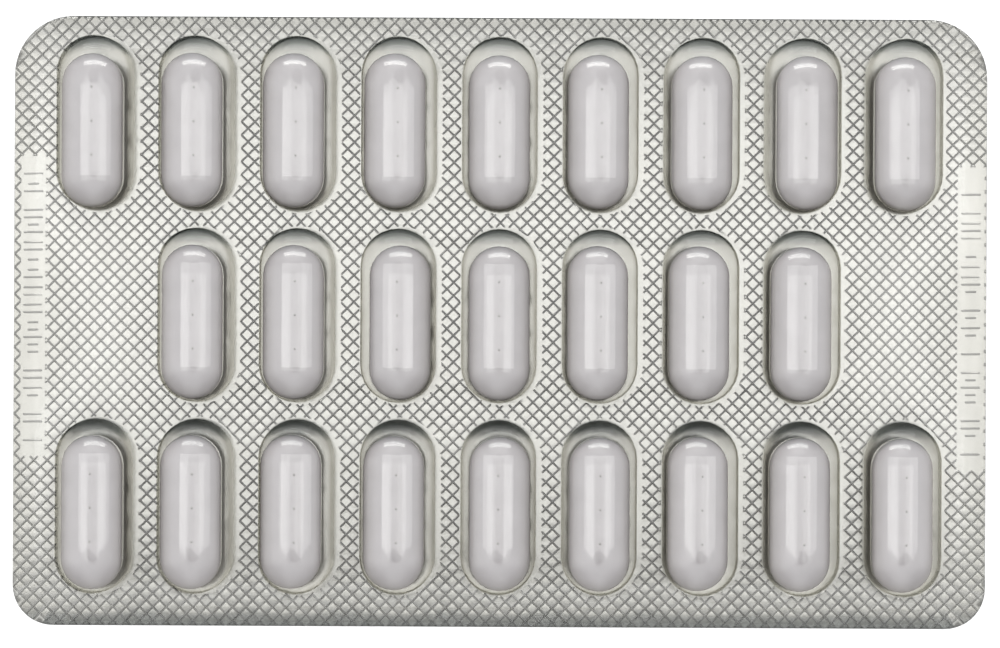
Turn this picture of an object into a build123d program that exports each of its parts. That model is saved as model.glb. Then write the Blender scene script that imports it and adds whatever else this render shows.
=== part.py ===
from build123d import *
import math
import os

# Push-through pill blister: a thermoformed clear film, its flat lidding foil and 25 oblong tablets.
#
# Millimetres. The pack lies flat with its foil down and its pockets up. +X runs along the card's
# long side, +Y across it, +Z out of the pockets. The origin is the middle of the foil's underside.

# Tablet: an oblong with domed faces, a straight band and softly rounded edges. The faces' radius
# goes with the width, so that a wider tablet keeps its band.
tablet_length = 19.7
tablet_width = 7.8
tablet_thickness = 6.2
tablet_edge_radius = 0.7
face_radius = tablet_width / 1.5

# Pocket: an oblong dome that leaves a margin round its tablet at the mouth and over its crown.
end_clearance = 1.42
side_clearance = 1.0
crown_clearance = 0.7
wall_thickness = 0.1
flare_radius = 0.1
wall_draft = 1.0
shoulder_radius = 1.5
crown_radius = face_radius + 1.2

# Pocket layout: rows of 9, 7 and 9, the short row centred on the same columns, with the width of
# sealed web left between mouths and along each edge of the card.
pockets_in_row = (9, 7, 9)
column_gap = 3.15
row_gap = 2.01
left_margin = 5.67
right_margin = 5.93
upper_margin = 2.53
lower_margin = 4.13

# Card: the two sheets, and the corners of the outline that they share, punched in one stroke.
foil_thickness = 0.03
film_thickness = 0.25
upper_corner_radius = 7.6
lower_corner_radius = 5.2

# How the tablets happen to lie: a hair above the foil, slipped sideways and towards the lower edge,
# both as shares of the room that the pocket leaves.
tablet_lift = 0.02
side_slip = (
    (-0.25, -0.6, -0.6, -0.65, -0.1, -0.55, -0.2, 0.45, -0.15),
    (-0.4, -0.45, 0.45, 0.0, -0.55, -0.6, -0.5),
    (-0.05, -0.55, -0.8, -0.55, 0.25, -0.1, -0.7, -0.6, -0.4),
)
end_slip = (0.99, 0.82, 0.6)

mouth_length = tablet_length + 2 * end_clearance
mouth_width = tablet_width + 2 * side_clearance
mouth_radius = mouth_width / 2
column_pitch = mouth_width + column_gap
row_pitch = mouth_length + row_gap
card_length = max(pockets_in_row) * column_pitch - column_gap + left_margin + right_margin
card_width = len(pockets_in_row) * row_pitch - row_gap + upper_margin + lower_margin
film_bottom = foil_thickness
film_top = film_bottom + film_thickness
tablet_bottom = foil_thickness + tablet_lift
crown_inside = tablet_bottom + tablet_thickness + crown_clearance
crown_outside = crown_inside + wall_thickness
cup_depth = face_radius - math.sqrt(face_radius**2 - (tablet_width / 2) ** 2)
band_low_z = tablet_bottom + cup_depth
band_high_z = tablet_bottom + tablet_thickness - cup_depth
wall_inset = flare_radius + wall_thickness + band_high_z * math.tan(math.radians(wall_draft))
slip_room = side_clearance - wall_inset


def pocket_places():
    """Row, place in the row, x and y of each pocket's centre, row by row from the upper edge."""
    first_x = left_margin + mouth_width / 2 - card_length / 2
    first_y = card_width / 2 - upper_margin - mouth_length / 2
    for row, count in enumerate(pockets_in_row):
        indent = (max(pockets_in_row) - count) / 2
        for place in range(count):
            yield row, place, first_x + (indent + place) * column_pitch, first_y - row * row_pitch


def card_outline():
    """The card's face: a rectangle with larger radii on its upper corners."""
    with BuildSketch() as outline:
        Rectangle(card_length, card_width)
        fillet(outline.vertices().group_by(Axis.Y)[-1], radius=upper_corner_radius)
        fillet(outline.vertices().group_by(Axis.Y)[0], radius=lower_corner_radius)
    return outline.sketch


def half_dome(flange_z, crown_z, flare, shoulder):
    """Half of a dome's section down to z = 0: crown, shoulder, drafted wall, and flare to the flange."""
    draft = math.radians(wall_draft)
    wall_foot = mouth_radius - flare * math.cos(draft)
    wall_foot_z = flange_z + flare * (1 - math.sin(draft))
    crown_drop = crown_radius - math.sqrt(crown_radius**2 - wall_foot**2)
    wall_top_z = crown_z - crown_drop
    wall_top = wall_foot - (wall_top_z - wall_foot_z) * math.tan(draft)
    top_drop = crown_radius - math.sqrt(crown_radius**2 - wall_top**2)
    with BuildSketch() as dome:
        with BuildLine():
            Polyline((0, crown_z), (0, 0), (mouth_radius, 0), (mouth_radius, flange_z))
            RadiusArc((mouth_radius, flange_z), (wall_foot, wall_foot_z), -flare, short_sagitta=True)
            Line((wall_foot, wall_foot_z), (wall_top, crown_z - top_drop))
            RadiusArc((wall_top, crown_z - top_drop), (0, crown_z), -crown_radius)
        make_face()
        corner = dome.vertices().sort_by_distance((wall_top, crown_z - top_drop))[0]
        fillet(corner, radius=shoulder)
    return dome.sketch


def half_tablet():
    """Half of a tablet's section: two domed faces, the band between them, rounded edges."""
    radius = tablet_width / 2
    top = tablet_bottom + tablet_thickness
    with BuildSketch() as section:
        with BuildLine():
            Line((0, top), (0, tablet_bottom))
            RadiusArc((0, tablet_bottom), (radius, band_low_z), -face_radius)
            Line((radius, band_low_z), (radius, band_high_z))
            RadiusArc((radius, band_high_z), (0, top), -face_radius)
        make_face()
        edges_of_band = section.vertices().group_by(Axis.X)[-1]
        fillet(edges_of_band, radius=tablet_edge_radius)
    return section.sketch


def oblong(half_section, straight):
    """Solid with an oblong plan: the section drawn along the straight, and turned about each end."""
    with BuildPart() as body:
        with BuildSketch(Plane.XZ):
            add(half_section)
            mirror(about=Plane.YZ)
        extrude(amount=straight / 2, both=True)
        for end in (straight / 2, -straight / 2):
            with BuildSketch(Plane.XZ.offset(-end)):
                add(half_section)
            revolve(axis=Axis((0, end, 0), (0, 0, 1)), revolution_arc=math.copysign(180, end))
    return body.part


def write(part, name):
    """Labels a finished piece and writes it as its node's file."""
    part.label = name
    export_step(part, f"parts/{name}.step")


os.makedirs("parts", exist_ok=True)
centres = [(x, y) for _, _, x, y in pocket_places()]
mouth_straight = mouth_length - mouth_width

# Lidding foil: one flat sheet under the whole card, closing every pocket.
with BuildPart() as lidding_foil:
    with BuildSketch():
        add(card_outline())
    extrude(amount=foil_thickness)
write(lidding_foil.part, "lidding_foil")

# One pocket's wall: the dome's outside less its inside, with its ring of flange down to the foil.
with BuildSketch() as wall_section:
    add(half_dome(film_top, crown_outside, flare_radius, shoulder_radius))
    inside = half_dome(film_bottom, crown_inside, flare_radius + wall_thickness, shoulder_radius - wall_thickness)
    add(inside, mode=Mode.SUBTRACT)
pocket_wall = oblong(wall_section.sketch, mouth_straight)

# Formed film: the flange with a pocket standing in each of its holes, all one sheet.
with BuildPart() as blister_film:
    with BuildSketch(Plane.XY.offset(film_bottom)):
        add(card_outline())
        with Locations(*centres):
            SlotOverall(mouth_length, mouth_width, rotation=90, mode=Mode.SUBTRACT)
    extrude(amount=film_thickness)
    with Locations(*centres):
        add(pocket_wall)
write(blister_film.part, "blister_film")

# Tablets: one loose in each pocket, numbered along the rows from the upper left. A tablet's round
# end can slip within a circle of slip_room about the pocket's own end centre.
tablet_straight = tablet_length - tablet_width
tablet_body = oblong(half_tablet(), tablet_straight)
for number, (row, place, x, y) in enumerate(pocket_places(), start=1):
    sideways = slip_room * side_slip[row][place]
    endways = (mouth_straight - tablet_straight) / 2 + math.sqrt(slip_room**2 - sideways**2)
    with BuildPart() as tablet:
        with Locations((x + sideways, y - end_slip[row] * endways)):
            add(tablet_body)
    write(tablet.part, f"tablet_{number:02d}")
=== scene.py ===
"""A push-through blister card of oblong tablets, seen from straight above on a white floor.

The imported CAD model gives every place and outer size. This script adds what the CAD leaves plain: the
sealing knurl with its smooth lands, the coding strips, the vent nubs, the foil's creases inside the
pockets and the finish of film, foil and tablets. Lengths are in millimetres until a mesh is made.
"""

import math
import random

import bmesh
import bpy
from mathutils import Matrix, Vector, noise
from mathutils.geometry import delaunay_2d_cdt


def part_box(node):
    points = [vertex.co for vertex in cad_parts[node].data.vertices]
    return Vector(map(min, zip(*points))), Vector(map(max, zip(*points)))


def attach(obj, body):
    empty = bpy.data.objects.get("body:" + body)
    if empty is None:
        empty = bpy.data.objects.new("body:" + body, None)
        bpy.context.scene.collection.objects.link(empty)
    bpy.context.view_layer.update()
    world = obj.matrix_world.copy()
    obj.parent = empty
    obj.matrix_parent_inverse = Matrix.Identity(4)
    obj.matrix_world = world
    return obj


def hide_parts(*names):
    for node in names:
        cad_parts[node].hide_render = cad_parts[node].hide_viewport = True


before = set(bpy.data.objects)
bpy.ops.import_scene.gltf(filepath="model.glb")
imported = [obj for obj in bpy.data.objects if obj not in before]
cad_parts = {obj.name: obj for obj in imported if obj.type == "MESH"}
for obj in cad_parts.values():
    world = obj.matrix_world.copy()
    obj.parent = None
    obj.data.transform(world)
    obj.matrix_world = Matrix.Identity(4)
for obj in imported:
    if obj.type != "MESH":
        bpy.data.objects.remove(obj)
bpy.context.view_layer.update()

MM = 0.001

# The film's form, as the CAD model has it.
WALL = 0.1
FLARE = 0.1
WALL_DRAFT = math.radians(1.0)
SHOULDER = 1.5
CROWN_RADIUS = 6.4

# The tablet's form, as the CAD model has it.
TABLET_FACE_RADIUS = 5.2
TABLET_EDGE_RADIUS = 0.7

# The sealing knurl: a lattice of diamonds, each a flat pad between raised lines.
CELL = 1.71
PAD_SHARE = 0.76
FOIL_RIDGE = 0.08
FILM_RIDGE = 0.015
PAD_CROWN = 0.022

# The smooth land round each pocket, set off a little to +X as the sealing plate was.
LAND_SIDE = 0.36
LAND_END = 0.2
LAND_SHIFT = 0.3
LAND_STEP = 0.16

# Edges bent by more than this angle stay crisp, in radians.
CRISP_ANGLE = 0.16

# The foil's sag and creases inside a pocket, and how far in from the mouth they reach their full size.
SAG_REACH = 1.6
FOIL_CREASE = 0.009
CREASE_REACH = 0.6
FILL_SHARES = (0.93, 0.84, 0.72, 0.55, 0.35, 0.12)

# Where the sheets of the card lie, up from the foil's underside.
FOIL_THICKNESS = 0.03
SEAL_LEVEL = 0.14
FILM_UNDERSIDE = 0.23

# The coding strips: one down each short side, with raised strokes in place of lettering.
STRIPS = (((-61.6, -17.4), (-58.5, 21.1)), ((58.8, -18.7), (62.2, 20.2)))
STROKE_RADIUS = 0.16
STROKE_HEIGHT = 0.07
STROKE_POINTS = 10
STROKE_SEED = 11
LONG_STROKE = 1.1
SHORT_STROKE = 0.55
LONG_SHARE = 0.62
STROKE_STEPS = (0.95, 0.95, 1.3, 2.4)
STRIP_END = 2.0

# Vent nubs along each pocket's crown.
NUB_PITCH = 4.3
NUB_RADIUS = 0.13
NUB_HEIGHT = 0.012
NUB_POINTS = 10
NUB_SHARES = (1.0, 0.7, 0.35)

# How far the coating's unevenness goes into a tablet.
TABLET_UNEVENNESS = 0.012

# How the film's crowns and rims are found round each tablet, as shares of the tablet's size.
CROWN_BAND = 1.0
LEVEL_TOLERANCE = 0.002
WINDOW_SHARES = (0.78, 0.61)

# Distances beyond which a corner, a land or a mouth can't matter, and the stand-in for far away.
CORNER_ZONE = 9
LAND_REACH = (9, 17)
MOUTH_REACH = 8
FAR = 9.0

# How close counts as touching, as on the outline, and as one vertex.
TOUCH = 1e-3
RIM_BAND = 0.05
FILM_WELD = 0.002
TABLET_WELD = 0.001

ARC_STEPS = 14
STRAIGHT_STEPS = 6


# ---------------------------------------------------------------- what the frame says


class Pocket:
    """One pocket's place and the size of its mouth, in millimetres."""

    def __init__(self, x, y, half_width, half_length):
        self.x = x
        self.y = y
        self.half_width = half_width
        self.straight = half_length - half_width

    def reach(self, x, y, shift=0.0):
        """How far a point lies from the pocket's middle line."""
        along = max(abs(y - self.y) - self.straight, 0.0)
        return math.hypot(x - self.x - shift, along)


def box_mm(node):
    """A node's lowest and highest corners in millimetres."""
    low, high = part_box(node)
    return low / MM, high / MM


def find_pockets():
    """The pockets, one for each tablet, read from the film's crowns and rims."""
    points = [v.co / MM for v in film_vertices]
    crown_level = film_high.z - CROWN_BAND
    crowns = [p for p in points if p.z > crown_level]
    rims = [p for p in points if abs(p.z - flange_top) < LEVEL_TOLERANCE]
    found = []
    for name in tablet_names:
        low, high = box_mm(name)
        middle = (low + high) / 2
        window = Vector(((high.x - low.x) * WINDOW_SHARES[0], (high.y - low.y) * WINDOW_SHARES[1]))
        near = [p for p in crowns if abs(p.x - middle.x) < window.x and abs(p.y - middle.y) < window.y]
        x = (min(p.x for p in near) + max(p.x for p in near)) / 2
        y = (min(p.y for p in near) + max(p.y for p in near)) / 2
        mouth = [p for p in rims if abs(p.x - x) < window.x and abs(p.y - y) < window.y]
        half_width = max(abs(p.x - x) for p in mouth)
        half_length = max(abs(p.y - y) for p in mouth)
        found.append(Pocket(x, y, half_width, half_length))
    return found


def card_edge():
    """The card's outline, counter-clockwise, from the foil's own rim."""
    points = {(round(v.co.x / MM, 4), round(v.co.y / MM, 4)) for v in foil_node.data.vertices}
    return sorted(points, key=lambda p: math.atan2(p[1], p[0]))


film_low, film_high = box_mm("blister_film")
card_low, card_high = box_mm("lidding_foil")
foil_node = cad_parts["lidding_foil"]
film_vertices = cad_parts["blister_film"].data.vertices
flange_top = max(v.co.z / MM for v in film_vertices if v.co.x / MM < film_low.x + LEVEL_TOLERANCE)
tablet_names = sorted(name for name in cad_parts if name.startswith("tablet"))
pockets = find_pockets()
outline = card_edge()
outline_edges = list(zip(outline, outline[1:] + outline[:1]))


# ---------------------------------------------------------------- mesh helpers


def finish_mesh(bm, name, material, node):
    """Turns a bmesh in millimetres into a piece on the root body that stands for a CAD node."""
    bmesh.ops.transform(bm, matrix=Matrix.Scale(MM, 4), verts=bm.verts)
    mesh = bpy.data.meshes.new(name)
    bm.to_mesh(mesh)
    bm.free()
    for polygon in mesh.polygons:
        polygon.use_smooth = True
    mesh.materials.append(material)
    piece = bpy.data.objects.new(name, mesh)
    bpy.context.scene.collection.objects.link(piece)
    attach(piece, "root")
    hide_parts(node)


def ring(radius, straight):
    """Points round an oblong, as many for any radius, counter-clockwise from its lower right."""
    points = []
    for side in (1, -1):
        for k in range(STRAIGHT_STEPS):
            points.append((side * radius, side * straight * (2 * k / STRAIGHT_STEPS - 1)))
        for k in range(ARC_STEPS):
            angle = math.pi * k / ARC_STEPS
            points.append((side * radius * math.cos(angle), side * (straight + radius * math.sin(angle))))
    return points


def loft(bm, profile, straight, x, y):
    """Skins an oblong body through (radius, z) pairs; a radius of nothing is the middle line."""
    rings = []
    for radius, z in profile:
        rings.append([bm.verts.new((x + px, y + py, z)) for px, py in ring(radius, straight)])
    count = len(rings[0])
    faces = []
    for lower, upper in zip(rings, rings[1:]):
        for k in range(count):
            following = (k + 1) % count
            faces.append(bm.faces.new((lower[k], lower[following], upper[following], upper[k])))
    return faces


def arc(centre, radius, start, end, steps):
    """Points on an arc in the (radius, z) plane, angles from the outward direction."""
    turns = [start + (end - start) * k / steps for k in range(steps + 1)]
    return [(centre[0] + radius * math.cos(a), centre[1] + radius * math.sin(a)) for a in turns]


def dome_profile(mouth_radius, flange_z, crown_z, flare, shoulder):
    """The pocket's section from its mouth to its middle line."""
    foot = (mouth_radius - flare * math.cos(WALL_DRAFT), flange_z + flare * (1 - math.sin(WALL_DRAFT)))
    flare_centre = (mouth_radius, flange_z + flare)
    points = arc(flare_centre, flare, -math.pi / 2, -math.pi + WALL_DRAFT, 4)
    sphere_z = crown_z - CROWN_RADIUS
    b = crown_z - shoulder
    for _ in range(30):
        a = foot[0] - (b - foot[1]) * math.tan(WALL_DRAFT) - shoulder / math.cos(WALL_DRAFT)
        b = sphere_z + math.sqrt((CROWN_RADIUS - shoulder) ** 2 - a**2)
    crown_angle = math.atan2(b - sphere_z, a)
    bend = arc((a, b), shoulder, WALL_DRAFT, crown_angle, 8)
    for k in range(1, 4):
        share = k / 4
        points.append((foot[0] + (bend[0][0] - foot[0]) * share, foot[1] + (bend[0][1] - foot[1]) * share))
    points += bend
    points += arc((0, sphere_z), CROWN_RADIUS, crown_angle, math.pi / 2, 5)[1:]
    points[-1] = (0.0, crown_z)
    return points


# ---------------------------------------------------------------- the card's sheets


def cell_corners(i, j, share=1.0):
    """A lattice cell's four corners; share draws them in towards its middle."""
    x, y, d = i * CELL / 2, j * CELL / 2, CELL / 2 * share
    return ((x + d, y), (x, y + d), (x - d, y), (x, y - d))


def lattice_cell_at(x, y):
    """The lattice cell that holds a point."""
    u = math.floor((x + y) / CELL + 0.5)
    v = math.floor((y - x) / CELL + 0.5)
    return u - v, u + v


def on_card(x, y, margin=0.0):
    """True if a point lies within the card's outline, by more than a margin."""
    if abs(x) < card_high.x - CORNER_ZONE - margin and abs(y) < card_high.y - margin:
        return True
    for (ax, ay), (bx, by) in outline_edges:
        if (bx - ax) * (y - ay) - (by - ay) * (x - ax) < margin * math.hypot(bx - ax, by - ay):
            return False
    return True


def plain_distance(x, y):
    """How far a point lies outside the nearest land or coding strip; less than nothing is inside."""
    nearest = FAR
    for low, high in STRIPS:
        nearest = min(nearest, max(low[0] - x, x - high[0], low[1] - y, y - high[1]))
    for p in pockets:
        if abs(x - p.x) < LAND_REACH[0] and abs(y - p.y) < LAND_REACH[1]:
            along = max(abs(y - p.y) - p.straight - LAND_END + LAND_SIDE, 0.0)
            away = math.hypot(x - p.x - LAND_SHIFT, along) - p.half_width - LAND_SIDE
            nearest = min(nearest, away)
    return nearest


def in_pocket(x, y):
    """How far a point lies inside a pocket's mouth, or nothing."""
    near = [p for p in pockets if abs(x - p.x) < MOUTH_REACH]
    return max((p.half_width - p.reach(x, y) for p in near), default=0.0)


def relief(x, y):
    """The knurl's height at a point, as a share of the ridge: 1 on a raised line, 0 on a pad."""
    u, v = (x + y) / CELL, (y - x) / CELL
    away = max(abs(u - math.floor(u + 0.5)), abs(v - math.floor(v + 0.5)))
    share = (away - PAD_SHARE / 2) / (0.5 - PAD_SHARE / 2)
    fade = plain_distance(x, y) / LAND_STEP
    return min(max(share, 0.0), 1.0) * min(max(fade, 0.0), 1.0)


def sort_cells():
    """The lattice cells that are knurled all over, and those on an edge, a land or a strip."""
    across = int(card_high.x / CELL * 2) + 3
    up = int(card_high.y / CELL * 2) + 3
    whole, cut = [], []
    for i in range(-across, across + 1):
        for j in range(-up, up + 1):
            if (i + j) % 2:
                continue
            corners = cell_corners(i, j)
            if not on_card(i * CELL / 2, j * CELL / 2, -CELL):
                continue
            if all(on_card(x, y) and plain_distance(x, y) > LAND_STEP for x, y in corners):
                whole.append((i, j))
            else:
                cut.append((i, j))
    return whole, set(cut)


def strokes():
    """The coding strips' raised strokes, as ((x, y), (x, y)) across each strip's length."""
    chooser = random.Random(STROKE_SEED)
    for low, high in STRIPS:
        middle = (low[0] + high[0]) / 2
        y = low[1] + STRIP_END
        while y < high[1] - STRIP_END:
            reach = LONG_STROKE if chooser.random() < LONG_SHARE else SHORT_STROKE
            yield (middle - reach, y), (middle + reach, y)
            y += chooser.choice(STROKE_STEPS)


def stroke_loop(start, end):
    """Points round a stroke's foot."""
    for k in range(STROKE_POINTS):
        angle = 2 * math.pi * (k + 0.5) / STROKE_POINTS
        base = end if math.cos(angle) > 0 else start
        yield base[0] + STROKE_RADIUS * math.cos(angle), base[1] + STROKE_RADIUS * math.sin(angle)


class Plan:
    """Points and lines that a flat triangulation has to keep."""

    def __init__(self):
        self.points = []
        self.edges = []
        self.index = {}

    def point(self, x, y):
        key = (round(x, 4), round(y, 4))
        if key not in self.index:
            self.index[key] = len(self.points)
            self.points.append(Vector((x, y)))
        return self.index[key]

    def line(self, a, b):
        self.edges.append((self.point(*a), self.point(*b)))

    def loop(self, points):
        points = list(points)
        for a, b in zip(points, points[1:] + points[:1]):
            self.line(a, b)

    def triangles(self):
        found, _, faces, _, _, _ = delaunay_2d_cdt(self.points, self.edges, [], 0, 1e-5, False)
        return found, faces


def cut_cell_plan(fill_pockets):
    """The lines of every cut cell, with the lands, the strips, the mouths and the card's outline."""
    plan = Plan()
    plan.loop(outline)
    for i, j in sorted(cut_cells):
        for share in (1.0, PAD_SHARE):
            corners = cell_corners(i, j, share)
            for a, b in zip(corners, corners[1:] + corners[:1]):
                if max(plain_distance(*a), plain_distance(*b)) > 0 and (on_card(*a) or on_card(*b)):
                    plan.line(a, b)
    for p in pockets:
        plan.loop((p.x + x, p.y + y) for x, y in ring(p.half_width, p.straight))
        for extra in (0.0, LAND_STEP):
            radius = p.half_width + LAND_SIDE + extra
            straight = p.straight + LAND_END - LAND_SIDE
            plan.loop((p.x + LAND_SHIFT + x, p.y + y) for x, y in ring(radius, straight))
        if fill_pockets:
            for share in FILL_SHARES:
                for x, y in ring(p.half_width * share, p.straight + p.half_width * (1 - share) * 0.5)[::2]:
                    plan.point(p.x + x, p.y + y)
    for low, high in STRIPS:
        for extra in (0.0, LAND_STEP):
            left, right = low[0] - extra, high[0] + extra
            lower, upper = low[1] - extra, high[1] + extra
            plan.loop(((left, lower), (right, lower), (right, upper), (left, upper)))
    for start, end in strokes():
        plan.loop(stroke_loop(start, end))
        plan.line(start, end)
    return plan


def sheet_mesh(height, fill_pockets):
    """One face of the card as a bmesh, its height given by a function of x, y."""
    bm = bmesh.new()
    seen = {}

    def vert(x, y):
        key = (round(x, 3), round(y, 3))
        if key not in seen:
            seen[key] = bm.verts.new((x, y, height(x, y)))
        return seen[key]

    for i, j in whole_cells:
        outer = [vert(x, y) for x, y in cell_corners(i, j)]
        inner = [vert(x, y) for x, y in cell_corners(i, j, PAD_SHARE)]
        middle = vert(i * CELL / 2, j * CELL / 2)
        for k in range(4):
            following = (k + 1) % 4
            bm.faces.new((outer[k], outer[following], inner[following], inner[k]))
            bm.faces.new((inner[k], inner[following], middle))
    found, triangles = cut_cell_plan(fill_pockets).triangles()
    for triangle in triangles:
        x = sum(found[k].x for k in triangle) / 3
        y = sum(found[k].y for k in triangle) / 3
        if lattice_cell_at(x, y) not in cut_cells or not on_card(x, y):
            continue
        if not fill_pockets and in_pocket(x, y) > 0:
            continue
        corners = [vert(found[k].x, found[k].y) for k in triangle]
        if len(set(corners)) == 3:
            bm.faces.new(corners)
    bmesh.ops.recalc_face_normals(bm, faces=bm.faces)
    if sum(f.normal.z for f in bm.faces) < 0:
        bmesh.ops.reverse_faces(bm, faces=bm.faces)
    return bm


def crisp_pads(bm):
    """Keeps the pads and the raised lines crisp: only gentle bends are rounded."""
    for e in bm.edges:
        if len(e.link_faces) == 2 and e.calc_face_angle(0.0) > CRISP_ANGLE:
            e.smooth = False


def stroke_share(x, y):
    """1 on the crest of a coding stroke, 0 elsewhere."""
    for start, end in stroke_list:
        if abs(y - start[1]) < TOUCH and start[0] - TOUCH < x < end[0] + TOUCH:
            return 1.0
    return 0.0


def foil_height(x, y):
    """The foil's upper face: knurled, smooth on the lands, sagging a little inside each pocket."""
    depth = in_pocket(x, y)
    if depth > 0:
        sag = (SEAL_LEVEL - FOIL_THICKNESS) * min(depth / SAG_REACH, 1.0)
        broad = noise.noise(Vector((x * 0.9, y * 0.35, 3.1)))
        fine = noise.noise(Vector((x * 2.5, y * 0.9, 7.7)))
        wave = broad + 0.5 * fine
        crease = FOIL_CREASE * min(depth / CREASE_REACH, 1.0) * (1 + wave)
        return max(SEAL_LEVEL - sag + crease, FOIL_THICKNESS)
    if STRIPS[0][1][0] < x < STRIPS[1][0][0]:
        stroke = 0.0
    else:
        stroke = STROKE_HEIGHT * stroke_share(x, y)
    return SEAL_LEVEL + stroke + FOIL_RIDGE * relief(x, y) + pad_crown(x, y)


def pad_crown(x, y):
    """A small lift in the middle of each whole pad."""
    i, j = lattice_cell_at(x, y)
    middle = abs(x - i * CELL / 2) + abs(y - j * CELL / 2) < TOUCH
    return PAD_CROWN if middle and (i, j) in whole_set else 0.0


def film_height(x, y):
    """The film's upper face, which shows the knurl more weakly."""
    return flange_top - FILM_RIDGE * (1 - relief(x, y))


def skirt(bm, edges, level):
    """Walls from free edges down to a level."""
    result = bmesh.ops.extrude_edge_only(bm, edges=edges)
    for v in [g for g in result["geom"] if isinstance(g, bmesh.types.BMVert)]:
        v.co.z = level
    return [g for g in result["geom"] if isinstance(g, bmesh.types.BMEdge) and g.is_boundary]


def rim_edges(bm):
    """The sheet's free edges that lie on the card's outline."""
    return [e for e in bm.edges if e.is_boundary and not on_card(*e.verts[0].co.xy, RIM_BAND)]


# ---------------------------------------------------------------- materials


def new_material(name):
    """A material with an empty node tree and its output."""
    material = bpy.data.materials.new(name)
    material.use_nodes = True
    nodes = material.node_tree.nodes
    nodes.clear()
    output = nodes.new("ShaderNodeOutputMaterial")
    return material, nodes, material.node_tree.links, output


def scaled_noise(nodes, links, scale, detail=3.0, stretch=(1, 1, 1)):
    """Noise over the object's own coordinates, its scale in features per metre."""
    coordinates = nodes.new("ShaderNodeTexCoord")
    mapping = nodes.new("ShaderNodeMapping")
    mapping.inputs["Scale"].default_value = stretch
    texture = nodes.new("ShaderNodeTexNoise")
    texture.inputs["Scale"].default_value = scale
    texture.inputs["Detail"].default_value = detail
    links.new(coordinates.outputs["Object"], mapping.inputs["Vector"])
    links.new(mapping.outputs["Vector"], texture.inputs["Vector"])
    return texture


def bump(nodes, links, height, strength, distance):
    """A bump node fed by a height."""
    node = nodes.new("ShaderNodeBump")
    node.inputs["Strength"].default_value = strength
    node.inputs["Distance"].default_value = distance
    links.new(height, node.inputs["Height"])
    return node


def ramp(nodes, links, factor, low, high, start=0.0, end=1.0):
    """A colour ramp between two colours."""
    node = nodes.new("ShaderNodeValToRGB")
    node.color_ramp.elements[0].position = start
    node.color_ramp.elements[0].color = (*low, 1)
    node.color_ramp.elements[1].position = end
    node.color_ramp.elements[1].color = (*high, 1)
    links.new(factor, node.inputs["Fac"])
    return node


def maths(nodes, links, operation, *values):
    """A Math node's result on values, each a number or another node's output."""
    node = nodes.new("ShaderNodeMath")
    node.operation = operation
    for socket, value in zip(node.inputs, values):
        if isinstance(value, float):
            socket.default_value = value
        else:
            links.new(value, socket)
    return node.outputs["Value"]


def spread(nodes, links, source, lowest, highest, at_lowest, at_highest):
    """A value that runs from one level to another as its source does."""
    node = nodes.new("ShaderNodeMapRange")
    node.inputs["From Min"].default_value = lowest
    node.inputs["From Max"].default_value = highest
    node.inputs["To Min"].default_value = at_lowest
    node.inputs["To Max"].default_value = at_highest
    links.new(source, node.inputs["Value"])
    return node.outputs["Result"]


def tinted(nodes, links, colour, tint):
    """A colour times a tint, which is plain numbers or another node's output."""
    node = nodes.new("ShaderNodeMix")
    node.data_type = "RGBA"
    node.blend_type = "MULTIPLY"
    node.inputs["Factor"].default_value = 1.0
    links.new(colour, node.inputs["A"])
    if isinstance(tint, tuple):
        node.inputs["B"].default_value = tint
    else:
        links.new(tint, node.inputs["B"])
    return node.outputs["Result"]


def surface_direction(nodes, links):
    """The surface's direction in the scene, as the outputs X, Y and Z."""
    surface = nodes.new("ShaderNodeNewGeometry")
    parts = nodes.new("ShaderNodeSeparateXYZ")
    links.new(surface.outputs["Normal"], parts.inputs["Vector"])
    return parts.outputs


def foil_material():
    """Soft-tempered aluminium foil with a fine rolling grain, and painted shade that darkens the knurl's
    slopes.
    """
    material, nodes, links, output = new_material("foil_metal")
    shader = nodes.new("ShaderNodeBsdfPrincipled")
    shader.inputs["Metallic"].default_value = 0.7
    grain = scaled_noise(nodes, links, 900, 4.0, (1, 0.12, 1))
    tone = ramp(nodes, links, grain.outputs["Fac"], (0.67, 0.66, 0.638), (0.75, 0.74, 0.715), 0.3, 0.7)
    # Painted shade: the base colour darkens where the surface tilts, on the knurl's slopes, in place of
    # the shade they would reflect.
    upright = surface_direction(nodes, links)["Z"]
    slope = ramp(nodes, links, upright, (0.66, 0.66, 0.665), (1.0, 1.0, 1.0), 0.92, 0.998)
    colour = tinted(nodes, links, tone.outputs["Color"], slope.outputs["Color"])
    links.new(colour, shader.inputs["Base Color"])
    links.new(spread(nodes, links, grain.outputs["Fac"], 0.0, 1.0, 0.12, 0.19), shader.inputs["Roughness"])
    waves = scaled_noise(nodes, links, 420, 2.0)
    ripple = bump(nodes, links, waves.outputs["Fac"], 0.2, 0.00005)
    links.new(ripple.outputs["Normal"], shader.inputs["Normal"])
    links.new(shader.outputs["BSDF"], output.inputs["Surface"])
    return material


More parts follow.
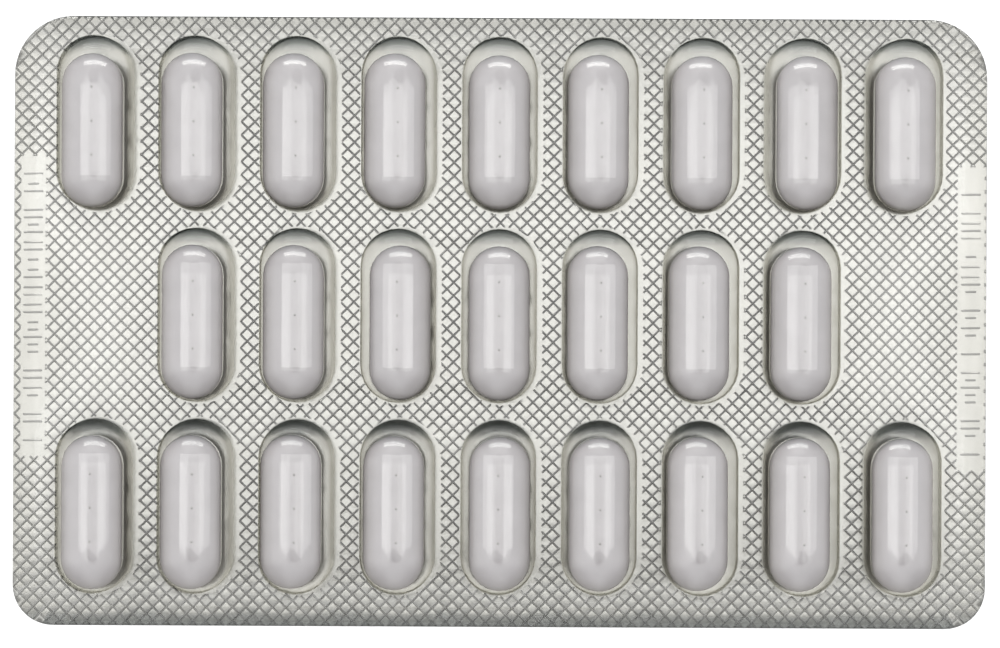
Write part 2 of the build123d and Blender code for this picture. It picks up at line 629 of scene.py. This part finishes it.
def film_material():
    """Clear rigid film: painted shade darkens its clear colour where steep and at each pocket's back end,
    and it is less glossy where steep.
    """
    material, nodes, links, output = new_material("clear_film")
    waves = scaled_noise(nodes, links, 260, 2.0)
    ripple = bump(nodes, links, waves.outputs["Fac"], 0.15, 0.00006)
    direction = surface_direction(nodes, links)
    upright = maths(nodes, links, "ABSOLUTE", direction["Z"])
    # Painted shade: the clear colour runs from nearly clear on level film to grey on steep walls, in place
    # of refraction and shadowed foil.
    tint = ramp(nodes, links, upright, (0.77, 0.765, 0.735), (0.99, 0.99, 0.98), 0.3, 0.92)
    # Painted shade: the clear colour darkens where the film faces each pocket's back end, so the upper
    # ends look shaded.
    side = maths(nodes, links, "SIGN", direction["Z"])
    towards_back = maths(nodes, links, "MULTIPLY", direction["Y"], side)
    back_end_shade = ramp(nodes, links, towards_back, (1.0, 1.0, 1.0), (0.62, 0.64, 0.65), 0.42, 0.72)
    clear = nodes.new("ShaderNodeBsdfTransparent")
    links.new(tinted(nodes, links, tint.outputs["Color"], back_end_shade.outputs["Color"]), clear.inputs["Color"])
    gloss = nodes.new("ShaderNodeBsdfGlossy")
    gloss.inputs["Color"].default_value = (1, 1, 1, 1)
    gloss.inputs["Roughness"].default_value = 0.05
    links.new(ripple.outputs["Normal"], gloss.inputs["Normal"])
    fresnel = nodes.new("ShaderNodeFresnel")
    fresnel.inputs["IOR"].default_value = 1.58
    links.new(ripple.outputs["Normal"], fresnel.inputs["Normal"])
    held = maths(nodes, links, "MINIMUM", fresnel.outputs["Fac"], 0.16)
    drawn = spread(nodes, links, upright, 0.87, 0.97, 0.1, 1.0)
    mix = nodes.new("ShaderNodeMixShader")
    links.new(maths(nodes, links, "MULTIPLY", held, drawn), mix.inputs["Fac"])
    links.new(clear.outputs["BSDF"], mix.inputs[1])
    links.new(gloss.outputs["BSDF"], mix.inputs[2])
    links.new(mix.outputs["Shader"], output.inputs["Surface"])
    return material


def tablet_material():
    """Film-coated tablet: a white core under a thin, slightly violet polymer coat."""
    material, nodes, links, output = new_material("tablet_coat")
    shader = nodes.new("ShaderNodeBsdfPrincipled")
    mottle = scaled_noise(nodes, links, 380, 3.0)
    tone = ramp(nodes, links, mottle.outputs["Fac"], (0.545, 0.512, 0.542), (0.59, 0.555, 0.588), 0.3, 0.7)
    links.new(tone.outputs["Color"], shader.inputs["Base Color"])
    shader.inputs["Roughness"].default_value = 0.32
    shader.inputs["Coat Weight"].default_value = 1.0
    shader.inputs["Coat IOR"].default_value = 1.9
    shader.inputs["Coat Roughness"].default_value = 0.06
    peel = scaled_noise(nodes, links, 2600, 3.0)
    ripple = bump(nodes, links, peel.outputs["Fac"], 0.25, 0.00003)
    links.new(ripple.outputs["Normal"], shader.inputs["Normal"])
    links.new(shader.outputs["BSDF"], output.inputs["Surface"])
    return material


# ---------------------------------------------------------------- pieces


def make_foil(material):
    """The lidding foil: knurled between the lands, sagging a little inside each pocket."""
    bm = sheet_mesh(foil_height, True)
    crisp_pads(bm)
    lower = bmesh.ops.duplicate(bm, geom=bm.verts[:] + bm.edges[:] + bm.faces[:])["geom"]
    for v in [g for g in lower if isinstance(g, bmesh.types.BMVert)]:
        v.co.z -= FOIL_THICKNESS
    bmesh.ops.reverse_faces(bm, faces=[g for g in lower if isinstance(g, bmesh.types.BMFace)])
    bmesh.ops.bridge_loops(bm, edges=[e for e in bm.edges if e.is_boundary])
    finish_mesh(bm, "foil_sheet", material, "lidding_foil")


def make_film(material):
    """The formed film: knurled flange, pockets with real walls, vent nubs on their crowns."""
    bm = sheet_mesh(film_height, False)
    crisp_pads(bm)
    bottom = skirt(bm, rim_edges(bm), FILM_UNDERSIDE)
    plan = Plan()
    for e in bottom:
        plan.line(*(v.co.xy for v in e.verts))
    for p in pockets:
        plan.loop((p.x + x, p.y + y) for x, y in ring(p.half_width, p.straight))
    found, triangles = plan.triangles()
    verts = [bm.verts.new((q.x, q.y, FILM_UNDERSIDE)) for q in found]
    for triangle in triangles:
        x = sum(found[k].x for k in triangle) / 3
        y = sum(found[k].y for k in triangle) / 3
        if in_pocket(x, y) <= 0 and on_card(x, y):
            bm.faces.new([verts[k] for k in reversed(triangle)])
    for p in pockets:
        outside = dome_profile(p.half_width, flange_top - FILM_RIDGE, film_high.z, FLARE, SHOULDER)
        inside = dome_profile(
            p.half_width, FILM_UNDERSIDE, film_high.z - WALL, FLARE + WALL, SHOULDER - WALL
        )
        loft(bm, outside, p.straight, p.x, p.y)
        faces = loft(bm, inside, p.straight, p.x, p.y)
        bmesh.ops.reverse_faces(bm, faces=faces)
    bmesh.ops.remove_doubles(bm, verts=bm.verts, dist=FILM_WELD)
    add_nubs(bm)
    finish_mesh(bm, "film_shell", material, "blister_film")


def add_nubs(bm):
    """Three small lens-shaped vent nubs on the middle line of each crown."""
    for p in pockets:
        for step in (-1, 0, 1):
            rows = []
            for share in NUB_SHARES:
                z = film_high.z - NUB_HEIGHT + NUB_HEIGHT * math.sqrt(1 - share**2)
                row = []
                for k in range(NUB_POINTS):
                    angle = 2 * math.pi * k / NUB_POINTS
                    x = p.x + NUB_RADIUS * share * math.cos(angle)
                    y = p.y + step * NUB_PITCH + NUB_RADIUS * share * math.sin(angle)
                    row.append(bm.verts.new((x, y, z)))
                rows.append(row)
            for low, high in zip(rows, rows[1:]):
                for k in range(NUB_POINTS):
                    following = (k + 1) % NUB_POINTS
                    bm.faces.new((low[k], low[following], high[following], high[k]))
            bm.faces.new(rows[-1])
            bm.faces.new(list(reversed(rows[0])))


def tablet_profile(width, bottom, top):
    """A tablet's section from the middle of its underside round to the middle of its top."""
    radius = width / 2
    face, edge = TABLET_FACE_RADIUS, TABLET_EDGE_RADIUS
    a = radius - edge
    rise = math.sqrt((face - edge) ** 2 - a**2)
    low_centre, high_centre = bottom + face, top - face
    low_b, high_b = low_centre - rise, high_centre + rise
    slope = math.atan2(rise, a)
    points = arc((0, low_centre), face, -math.pi / 2, -slope, 8)
    points += arc((a, low_b), edge, -slope, 0, 5)[1:]
    points += arc((a, high_b), edge, 0, slope, 5)
    points += arc((0, high_centre), face, slope, math.pi / 2, 10)[1:]
    points[0] = (0.0, bottom)
    points[-1] = (0.0, top)
    return points


def make_tablet(number, name, material):
    """One tablet, with the slight unevenness of a coated one."""
    low, high = box_mm(name)
    x, y = (low.x + high.x) / 2, (low.y + high.y) / 2
    bm = bmesh.new()
    width = high.x - low.x
    straight = (high.y - low.y - width) / 2
    loft(bm, tablet_profile(width, low.z, high.z), straight, x, y)
    bmesh.ops.remove_doubles(bm, verts=bm.verts, dist=TABLET_WELD)
    bmesh.ops.recalc_face_normals(bm, faces=bm.faces)
    offset = Vector((number * 7.3, number * 3.1, 0))
    for v in bm.verts:
        v.co -= v.normal * TABLET_UNEVENNESS * (1 + noise.noise(v.co * 0.45 + offset))
    finish_mesh(bm, "tablet_body_" + name[-2:], material, name)


# ---------------------------------------------------------------- stage, light and camera


def make_floor():
    """A white floor that keeps the card's shadow."""
    bm = bmesh.new()
    bmesh.ops.create_grid(bm, x_segments=2, y_segments=2, size=3.0)
    mesh = bpy.data.meshes.new("floor")
    bm.to_mesh(mesh)
    bm.free()
    floor = bpy.data.objects.new("floor", mesh)
    floor.location.z = -0.00005
    bpy.context.scene.collection.objects.link(floor)
    material, nodes, links, output = new_material("floor_white")
    diffuse = nodes.new("ShaderNodeBsdfDiffuse")
    diffuse.inputs["Color"].default_value = (0.8, 0.8, 0.8, 1)
    glow = nodes.new("ShaderNodeEmission")
    glow.inputs["Strength"].default_value = 0.62
    both = nodes.new("ShaderNodeAddShader")
    links.new(diffuse.outputs["BSDF"], both.inputs[0])
    links.new(glow.outputs["Emission"], both.inputs[1])
    path = nodes.new("ShaderNodeLightPath")
    camera_ray, transmission_ray = path.outputs["Is Camera Ray"], path.outputs["Is Transmission Ray"]
    seen = maths(nodes, links, "MAXIMUM", camera_ray, transmission_ray)
    choose = nodes.new("ShaderNodeMixShader")
    links.new(seen, choose.inputs["Fac"])
    links.new(diffuse.outputs["BSDF"], choose.inputs[1])
    links.new(both.outputs["Shader"], choose.inputs[2])
    links.new(choose.outputs["Shader"], output.inputs["Surface"])
    mesh.materials.append(material)


def make_panel(name, place, aim, size, radiance):
    """A rectangular soft light, its brightness given as seen radiance."""
    lamp = bpy.data.lights.new(name, "AREA")
    lamp.shape = "RECTANGLE"
    lamp.size, lamp.size_y = size
    lamp.energy = radiance * math.pi * size[0] * size[1]
    holder = bpy.data.objects.new(name, lamp)
    holder.location = place
    direction = Vector(aim) - Vector(place)
    holder.rotation_euler = direction.to_track_quat("-Z", "Y").to_euler()
    bpy.context.scene.collection.objects.link(holder)


def make_world():
    """A studio that is light on four sides, most at the back, dark in its corners and graded overhead."""
    world = bpy.data.worlds.new("studio")
    bpy.context.scene.world = world
    world.use_nodes = True
    nodes, links = world.node_tree.nodes, world.node_tree.links
    nodes.clear()
    output = nodes.new("ShaderNodeOutputWorld")
    background = nodes.new("ShaderNodeBackground")
    coordinates = nodes.new("ShaderNodeTexCoord")
    parts = nodes.new("ShaderNodeSeparateXYZ")
    links.new(coordinates.outputs["Generated"], parts.inputs["Vector"])
    x, y, z = (parts.outputs[axis] for axis in "XYZ")
    front_to_back = spread(nodes, links, y, -1.0, 1.0, 0.80, 1.12)
    left_to_right = spread(nodes, links, x, -1.0, 1.0, 0.10, -0.10)
    sides = maths(nodes, links, "ADD", front_to_back, left_to_right)
    product = maths(nodes, links, "MULTIPLY", x, y)
    corner = maths(nodes, links, "MULTIPLY", product, product)
    walls = maths(nodes, links, "MULTIPLY", sides, spread(nodes, links, corner, 0.01, 0.12, 1.0, 0.55))
    overhead = spread(nodes, links, y, -0.06, 0.06, 0.14, 0.66)
    choose = nodes.new("ShaderNodeMix")
    links.new(spread(nodes, links, z, 0.965, 0.985, 0.0, 1.0), choose.inputs["Factor"])
    links.new(walls, choose.inputs["A"])
    links.new(overhead, choose.inputs["B"])
    studio = tinted(nodes, links, choose.outputs["Result"], (0.98, 0.99, 1.0, 1.0))
    links.new(studio, background.inputs["Color"])
    links.new(background.outputs["Background"], output.inputs["Surface"])


def make_camera():
    """A long lens straight above the card, turned by the card's slight skew in the view."""
    height = 0.5
    view_width = 0.1286
    offset = -0.0002
    skew = math.radians(0.27)
    camera = bpy.data.cameras.new("camera")
    camera.sensor_width = 36.0
    camera.lens = camera.sensor_width * height / view_width
    camera.clip_start = 0.01
    holder = bpy.data.objects.new("camera", camera)
    holder.location = (0, offset, height)
    holder.rotation_euler = (0, 0, skew)
    bpy.context.scene.collection.objects.link(holder)
    bpy.context.scene.camera = holder


make_camera()
bpy.context.scene.view_settings.view_transform = "Standard"
make_world()
make_panel("overhead_strip", (0, 0, 0.62), (0, 0, 0), (0.88, 0.154), 1.1)
make_panel("low_back_panel", (0, 0.85, 0.36), (0, 0, 0), (0.9, 0.22), 3.6)
make_floor()

whole_cells, cut_cells = sort_cells()
whole_set = set(whole_cells)
stroke_list = list(strokes())
make_foil(foil_material())
make_film(film_material())
coat = tablet_material()
for number, name in enumerate(tablet_names):
    make_tablet(number, name, coat)
